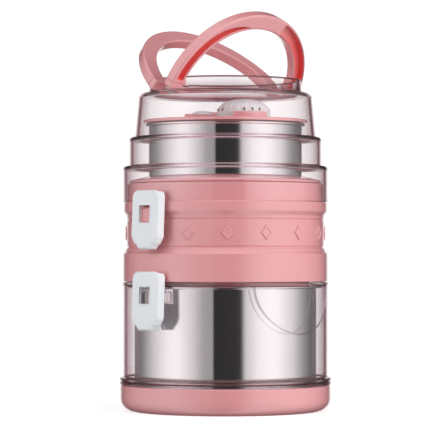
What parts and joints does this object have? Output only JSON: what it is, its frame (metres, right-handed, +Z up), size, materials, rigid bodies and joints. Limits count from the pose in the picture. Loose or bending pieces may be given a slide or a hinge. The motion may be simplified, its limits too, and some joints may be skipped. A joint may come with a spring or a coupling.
{
  "type": "stacked tiffin carrier",
  "caption": "Round stacked food carrier with steel vessels, clear shell and cover, snap latches, steam vent and two folding carry handles.",
  "frame": {"origin": "centre of the base's underside", "axes": "+Z up along the stack, -Y towards the front plaque, latches and handle hinges on +X and -X"},
  "size_m": [0.1662, 0.1528, 0.287],
  "materials": {
    "pink_plastic": "gloss moulded polypropylene",
    "clear_plastic": "clear gloss plastic with a faint rose tint",
    "steel": "mirror polished stainless steel",
    "pin_steel": "drawn steel wire",
    "white_plastic": "satin moulded plastic",
    "frosted_plastic": "translucent moulded plastic",
    "seal": "silicone"
  },
  "bodies": {
    "pot": {"base_cup": "pink_plastic", "lower_shell": "clear_plastic", "lower_pot": "steel"},
    "middle_tier": {"middle_jacket": "pink_plastic", "lower_gasket": "seal", "lower_latch_pins": "pin_steel"},
    "lower_latch_left": {"lower_latch_left": "white_plastic"},
    "lower_latch_right": {"lower_latch_right": "white_plastic"},
    "middle_bowl": {"middle_bowl": "steel"},
    "middle_lid": {"middle_lid": "pink_plastic", "middle_lid_gasket": "seal"},
    "top_bowl": {"top_bowl": "steel"},
    "top_lid": {"top_lid": "pink_plastic", "top_lid_gasket": "seal", "vent_seat": "frosted_plastic"},
    "steam_cap": {"steam_cap": "frosted_plastic"},
    "vent_flap": {"vent_flap": "pink_plastic"},
    "cover": {"stepped_cover": "clear_plastic", "upper_latch_pins": "pin_steel", "handle_pins": "pin_steel"},
    "upper_latch_left": {"upper_latch_left": "white_plastic"},
    "upper_latch_right": {"upper_latch_right": "white_plastic"},
    "handle_front": {"handle_front": "pink_plastic"},
    "handle_back": {"handle_back": "pink_plastic"}
  },
  "joints": [
    {"name": "middle_tier_lift", "type": "slide", "parent": "pot", "child": "middle_tier", "axis": [0, 0, 1], "range_m": [0, 0.06]},
    {"name": "lower_latch_left_hinge", "type": "hinge", "parent": "middle_tier", "child": "lower_latch_left", "pos_m": [-0.0782, 0, 0.0976], "axis": [0, 1, 0], "range_deg": [-2.6, 80]},
    {"name": "lower_latch_right_hinge", "type": "hinge", "parent": "middle_tier", "child": "lower_latch_right", "pos_m": [0.0782, 0, 0.0976], "axis": [0, -1, 0], "range_deg": [-2.6, 80]},
    {"name": "middle_bowl_lift", "type": "slide", "parent": "middle_tier", "child": "middle_bowl", "axis": [0, 0, 1], "range_m": [0, 0.075]},
    {"name": "middle_lid_lift", "type": "slide", "parent": "middle_bowl", "child": "middle_lid", "axis": [0, 0, 1], "range_m": [0, 0.06]},
    {"name": "top_bowl_lift", "type": "slide", "parent": "middle_lid", "child": "top_bowl", "axis": [0, 0, 1], "range_m": [0, 0.06]},
    {"name": "top_lid_lift", "type": "slide", "parent": "top_bowl", "child": "top_lid", "axis": [0, 0, 1], "range_m": [0, 0.095]},
    {"name": "steam_cap_turn", "type": "hinge", "parent": "top_lid", "child": "steam_cap", "pos_m": [0, -0.018, 0.2096], "axis": [0, 0, 1], "range_deg": [0, 90]},
    {"name": "vent_flap_hinge", "type": "hinge", "parent": "top_lid", "child": "vent_flap", "pos_m": [0.0128, 0.024, 0.2115], "axis": [0, 1, 0], "range_deg": [0, 70]},
    {"name": "cover_lift", "type": "slide", "parent": "top_lid", "child": "cover", "axis": [0, 0, 1], "range_m": [0, 0.11]},
    {"name": "upper_latch_left_hinge", "type": "hinge", "parent": "cover", "child": "upper_latch_left", "pos_m": [-0.0782, 0, 0.1547], "axis": [0, 1, 0], "range_deg": [-2.6, 80]},
    {"name": "upper_latch_right_hinge", "type": "hinge", "parent": "cover", "child": "upper_latch_right", "pos_m": [0.0782, 0, 0.1547], "axis": [0, -1, 0], "range_deg": [-2.6, 80]},
    {"name": "handle_front_hinge", "type": "hinge", "parent": "cover", "child": "handle_front", "pos_m": [0, -0.0092, 0.235], "axis": [1, 0, 0], "range_deg": [-34.5, 60]},
    {"name": "handle_back_hinge", "type": "hinge", "parent": "cover", "child": "handle_back", "pos_m": [0, 0.0092, 0.235], "axis": [-1, 0, 0], "range_deg": [-50.5, 44]}
  ]
}
